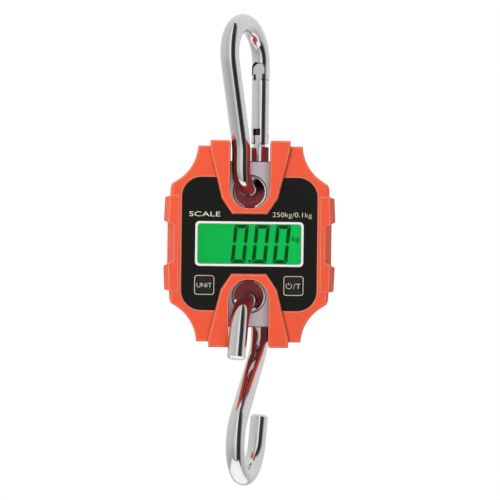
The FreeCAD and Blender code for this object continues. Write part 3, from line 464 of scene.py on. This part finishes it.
def ring(name, outer, inner, front, thick):
    """A flat printed line between two loops of as many points."""
    count = len(outer)
    vertices = [at(x, y, z) for y in (front, front + thick) for loop in (outer, inner) for x, z in loop]
    faces = []
    for i in range(count):
        j = (i + 1) % count
        faces += [(i, j, count + j, count + i),
                  (2 * count + j, 2 * count + i, 3 * count + i, 3 * count + j),
                  (j, i, 2 * count + i, 2 * count + j),
                  (count + i, count + j, 3 * count + j, 3 * count + i)]
    return mesh_from(name, vertices, faces)


def lettering(name, front):
    """One entry of WORDS as a flat mesh that faces the front."""
    words, x, z, width, height, weight = WORDS[name]
    curve = bpy.data.curves.new(name, "FONT")
    curve.body, curve.size, curve.offset = words, 1.0, weight
    source = bpy.data.objects.new(name + "_curve", curve)
    bpy.context.scene.collection.objects.link(source)
    bpy.context.view_layer.update()
    mesh = bpy.data.meshes.new_from_object(source.evaluated_get(bpy.context.evaluated_depsgraph_get()))
    bpy.data.objects.remove(source)
    xs = [v.co.x for v in mesh.vertices]
    left, scale_x, scale_z = min(xs), width / (max(xs) - min(xs)), height / CAP_HEIGHT
    for v in mesh.vertices:
        v.co = at(x + (v.co.x - left) * scale_x, front, z + v.co.y * scale_z)
    return mesh


def digit_zero(left):
    """The six lit bars of a seven-bar zero, leaning to the right."""
    w, h, t, gap = DIGIT_W, DIGIT_H, BAR_T, BAR_GAP
    mid = h / 2
    top = [(gap, h), (t + gap, h - t), (w - t - gap, h - t), (w - gap, h)]
    foot = mid + t / 2 + gap
    side = [(0, h - gap), (0, foot), (t / 2, mid + gap), (t, foot), (t, h - t - gap)]
    upper = [top, side, [(w - x, z) for x, z in side[::-1]]]
    lower = [[(x, h - z) for x, z in bar[::-1]] for bar in upper]
    return [[(left + x + z * DIGIT_SLANT, DIGIT_BOTTOM + z) for x, z in bar] for bar in upper + lower]


def display_print():
    """The three digits, the point and the unit of the display."""
    segment = printed("lcd_segment", (0.001, 0.040, 0.007), 0.35, 0.6)
    bars = [bar for i in range(DIGIT_COUNT) for bar in digit_zero(DIGIT_LEFT + DIGIT_PITCH * i)]
    turns = [2 * math.pi * i / POINT_SIDES for i in range(POINT_SIDES)]
    point = [(POINT_X + POINT_R * math.cos(turn), POINT_Z + POINT_R * math.sin(turn)) for turn in turns]
    digits = slabs("lcd_digits", bars + [point], LCD_Y - INK_T, INK_T)
    finish_piece("lcd_digits", digits, segment, "housing")
    finish_piece("lcd_unit", lettering("lcd_unit", LCD_Y - INK_T), segment, "housing")


def panel_print():
    """The line round the window, a line round each key and the two words above the window."""
    white = printed("white_ink", (0.80, 0.80, 0.80), 0.35)
    gold = printed("gold_ink", (0.54, 0.48, 0.33), 0.35)
    cream = printed("cream_ink", (0.90, 0.80, 0.56), 0.4)
    front = PANEL_Y - INK_T
    line = ring("window_line", rounded_loop(*LINE_OUTER), rounded_loop(*LINE_INNER), front, INK_T)
    finish_piece("window_line", line, white, "housing")
    for side, name in ((-1, "unit"), (1, "power")):
        outer = rounded_loop(*KEY_LINE_OUTER, side * KEY_X, KEY_Z)
        inner = rounded_loop(*KEY_LINE_INNER, side * KEY_X, KEY_Z)
        outline = ring(name + "_outline", outer, inner, front, INK_T)
        finish_piece(name + "_outline", outline, gold, "housing")
    for name in ("name_label", "range_label"):
        finish_piece(name, lettering(name, front), cream, "housing")


def dome(name, x):
    """The softly crowned face of one key, as rings that shrink towards its middle."""
    vertices, faces = [], []
    for i in range(DOME_RINGS + 1):
        share = 1 - i / DOME_RINGS
        half_w, half_h = (max(half * share, DOME_TIP) for half in (DOME_HALF_W, DOME_HALF_H))
        loop = rounded_loop(half_w, half_h, max(DOME_R * share, DOME_TIP_R), x, KEY_Z)
        y = KEY_Y + DOME_SUNK - DOME_CROWN * (1 - share ** DOME_POWER)
        vertices += [at(px, y, pz) for px, pz in loop]
    count = len(loop)
    for i in range(DOME_RINGS):
        for j in range(count):
            k = (j + 1) % count
            faces.append((i * count + j, i * count + k, (i + 1) * count + k, (i + 1) * count + j))
    faces.append(tuple(DOME_RINGS * count + j for j in range(count)))
    mesh = mesh_from(name, vertices, faces)
    mesh.shade_smooth()
    return mesh


def power_symbol():
    """A broken ring with an upright stroke."""
    x, z, half = POWER_X, KEY_Z, POWER_HALF_LINE
    first, sweep = 90 + POWER_OPENING, 360 - 2 * POWER_OPENING
    angles = [math.radians(first + sweep * i / POWER_STEPS) for i in range(POWER_STEPS + 1)]
    bars = []
    for a, b in zip(angles, angles[1:]):
        corners = ((POWER_R + half, a), (POWER_R + half, b), (POWER_R - half, b), (POWER_R - half, a))
        bars.append([(x + r * math.cos(t), z + r * math.sin(t)) for r, t in corners])
    low, high = z + STROKE_LOW, z + POWER_R + STROKE_OVER
    bars.append([(x - half, low), (x + half, low), (x + half, high), (x - half, high)])
    return slabs("power_symbol", bars, KEY_INK_Y, KEY_INK_T)


def key_tops():
    """The crowned key faces and what is printed on them."""
    ink = printed("key_ink", (0.62, 0.58, 0.46), 0.35)
    gloss = key_plastic()
    for side, name, body in ((-1, "unit", "unit_button"), (1, "power", "power_button")):
        finish_piece(name + "_dome", dome(name + "_dome", side * KEY_X), gloss, body)
    finish_piece("unit_word", lettering("unit_word", KEY_INK_Y), ink, "unit_button")
    finish_piece("tare_mark", lettering("tare_mark", KEY_INK_Y), ink, "power_button")
    finish_piece("power_symbol", power_symbol(), ink, "power_button")


# ---------------------------------------------------------------- studio


class Sky:
    """The world's nodes, and short ways to add to them."""

    def __init__(self):
        world = bpy.data.worlds.new("studio")
        bpy.context.scene.world = world
        world.use_nodes = True
        self.nodes, self.links = world.node_tree.nodes, world.node_tree.links
        self.nodes.clear()

    def add(self, kind, **values):
        node = self.nodes.new("ShaderNode" + kind)
        for key, value in values.items():
            setattr(node, key, value)
        return node

    def step(self, operation, first, second):
        """One step of arithmetic; the second operand is a number or a socket."""
        node = self.add("Math", operation=operation)
        self.links.new(first, node.inputs[0])
        if isinstance(second, float):
            node.inputs[1].default_value = second
        else:
            self.links.new(second, node.inputs[1])
        return node.outputs["Value"]

    def ramp(self, source, stops):
        """Greys by the source, which runs from the first stop's number to the last one's."""
        first, last = stops[0][0], stops[-1][0]
        span, greys = self.add("MapRange"), self.add("ValToRGB")
        span.inputs["From Min"].default_value, span.inputs["From Max"].default_value = first, last
        self.links.new(source, span.inputs["Value"])
        self.links.new(span.outputs["Result"], greys.inputs["Fac"])
        elements = greys.color_ramp.elements
        while len(elements) < len(stops):
            elements.new(0.5)
        for element, (number, grey) in zip(elements, stops):
            element.position = (number - first) / (last - first)
            element.color = (grey, grey, grey, 1.0)
        return greys.outputs["Color"]

    def light(self, colour):
        """A background of a colour, which may be a socket."""
        node = self.add("Background")
        if isinstance(colour, tuple):
            node.inputs["Color"].default_value = (*colour, 1.0)
        else:
            self.links.new(colour, node.inputs["Color"])
        return node.outputs["Background"]


def studio_world():
    """Pure white where the camera looks past the object; softboxes and one dark flag in what it reflects."""
    sky = Sky()
    split = sky.add("SeparateXYZ")
    sky.links.new(sky.add("TexCoord").outputs["Generated"], split.inputs["Vector"])
    x, y, z = (split.outputs[axis] for axis in "XYZ")
    azimuth = sky.step("ARCTAN2", x, sky.step("MULTIPLY", y, -1.0))
    product = sky.add("Mix", data_type="RGBA", blend_type="MULTIPLY")
    product.inputs["Factor"].default_value = 1.0
    round_about = sky.ramp(azimuth, [(math.radians(degrees), grey) for degrees, grey in AZIMUTH_STOPS])
    sky.links.new(round_about, product.inputs[MIX_FIRST])
    sky.links.new(sky.ramp(z, HEIGHT_STOPS), product.inputs[MIX_SECOND])

    mix, out = sky.add("MixShader"), sky.add("OutputWorld")
    sky.links.new(sky.add("LightPath").outputs["Is Camera Ray"], mix.inputs["Fac"])
    sky.links.new(sky.light(product.outputs[MIX_RESULT]), mix.inputs[1])
    sky.links.new(sky.light(WHITE), mix.inputs[2])
    sky.links.new(mix.outputs["Shader"], out.inputs["Surface"])


def area_light(name, place, size, power):
    """A soft lamp that aims at the housing and doesn't show in the polished rods."""
    light = bpy.data.lights.new(name, "AREA")
    light.shape, light.size, light.size_y, light.energy = "RECTANGLE", size[0], size[1], power
    lamp = bpy.data.objects.new(name, light)
    bpy.context.scene.collection.objects.link(lamp)
    lamp.location = at(*place)
    lamp.visible_glossy = False
    lamp.rotation_euler = (MIDDLE - lamp.location).to_track_quat("-Z", "Y").to_euler()


def pale_floor():
    """A plain floor well below the object."""
    half, z = FLOOR_HALF, cad_box[0][2] - FLOOR_DROP
    mesh = mesh_from("floor", [(-half, -half, z), (half, -half, z), (half, half, z), (-half, half, z)],
                     [(0, 1, 2, 3)])
    floor = bpy.data.objects.new("floor", mesh)
    bpy.context.scene.collection.objects.link(floor)
    look = Look("floor", (0.93, 0.93, 0.93), 0.8, Emission_Color=(*WHITE, 1.0), Emission_Strength=0.35)
    mesh.materials.append(look.material)


def camera():
    """Square on to the front, from far enough to keep the sides nearly parallel."""
    data = bpy.data.cameras.new("camera")
    data.lens, data.sensor_width = LENS_MM, SENSOR_MM
    data.clip_start, data.clip_end = CLIP_START, CLIP_END
    eye = bpy.data.objects.new("camera", data)
    bpy.context.scene.collection.objects.link(eye)
    eye.location = at(*CAMERA_PLACE)
    eye.rotation_euler = (math.radians(90), math.radians(CAMERA_ROLL), 0)
    bpy.context.scene.camera = eye


dress_nodes()
display_print()
panel_print()
key_tops()
studio_world()
for lamp_name, (lamp_place, lamp_size, lamp_power) in LAMPS.items():
    area_light(lamp_name, lamp_place, lamp_size, lamp_power)
pale_floor()
camera()
bpy.context.scene.view_settings.view_transform = "Standard"
